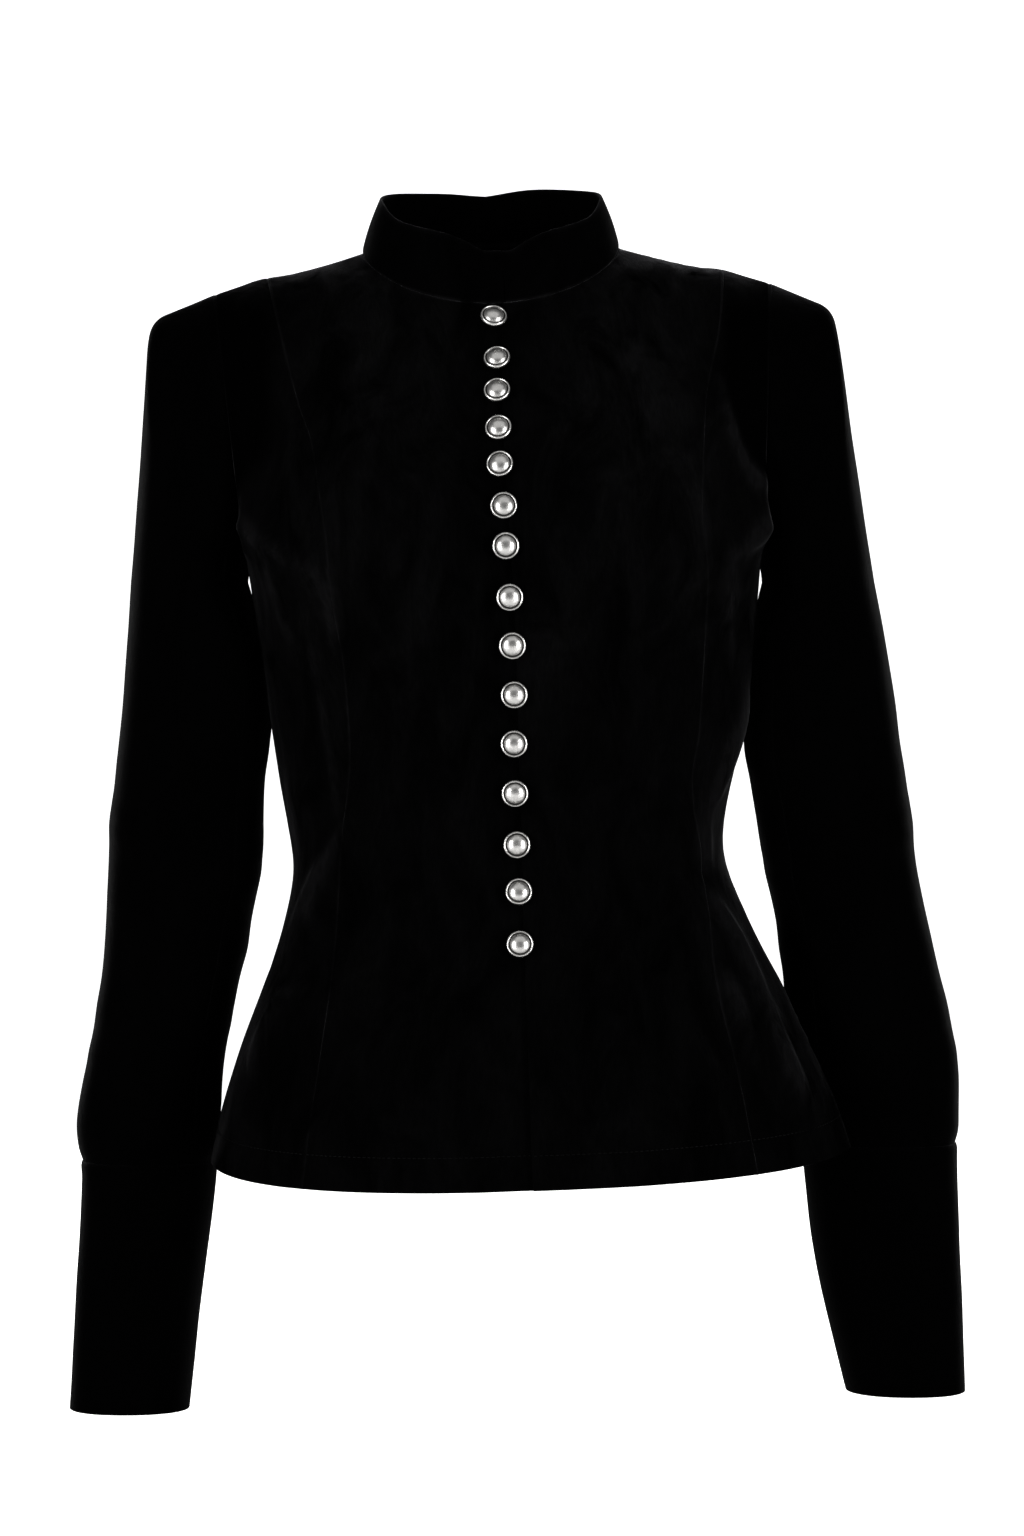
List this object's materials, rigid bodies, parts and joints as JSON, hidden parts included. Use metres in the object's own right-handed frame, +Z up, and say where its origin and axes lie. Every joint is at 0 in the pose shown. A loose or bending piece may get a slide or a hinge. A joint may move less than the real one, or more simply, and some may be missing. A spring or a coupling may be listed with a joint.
{
  "type": "stand collar coat",
  "caption": "Fitted velvet jacket with a stand collar, a close row of domed metal buttons, squared sleeve heads, deep cuffs and a flared hem.",
  "frame": {"origin": "midway between the two points where the shoulder seams meet the neckline, where the coat rests round its wearer's neck", "axes": "+Z up, the front faces -Y, the wearer's left is +X; the coat hangs upright as worn"},
  "size_m": [0.5811, 0.2914, 0.7979],
  "materials": {
    "velvet": "black velvet",
    "silver": "brushed dark silver"
  },
  "bodies": {
    "root": {"right_front": "velvet", "left_front": "velvet", "right_side_front": "velvet", "left_side_front": "velvet", "back": "velvet", "right_side_back": "velvet", "left_side_back": "velvet", "right_top_sleeve": "velvet", "right_under_sleeve": "velvet", "left_top_sleeve": "velvet", "left_under_sleeve": "velvet", "right_cuff": "velvet", "left_cuff": "velvet", "stand_collar": "velvet", "button_1": "silver", "button_2": "silver", "button_3": "silver", "button_4": "silver", "button_5": "silver", "button_6": "silver", "button_7": "silver", "button_8": "silver", "button_9": "silver", "button_10": "silver", "button_11": "silver", "button_12": "silver", "button_13": "silver", "button_14": "silver", "button_15": "silver"}
  },
  "joints": []
}
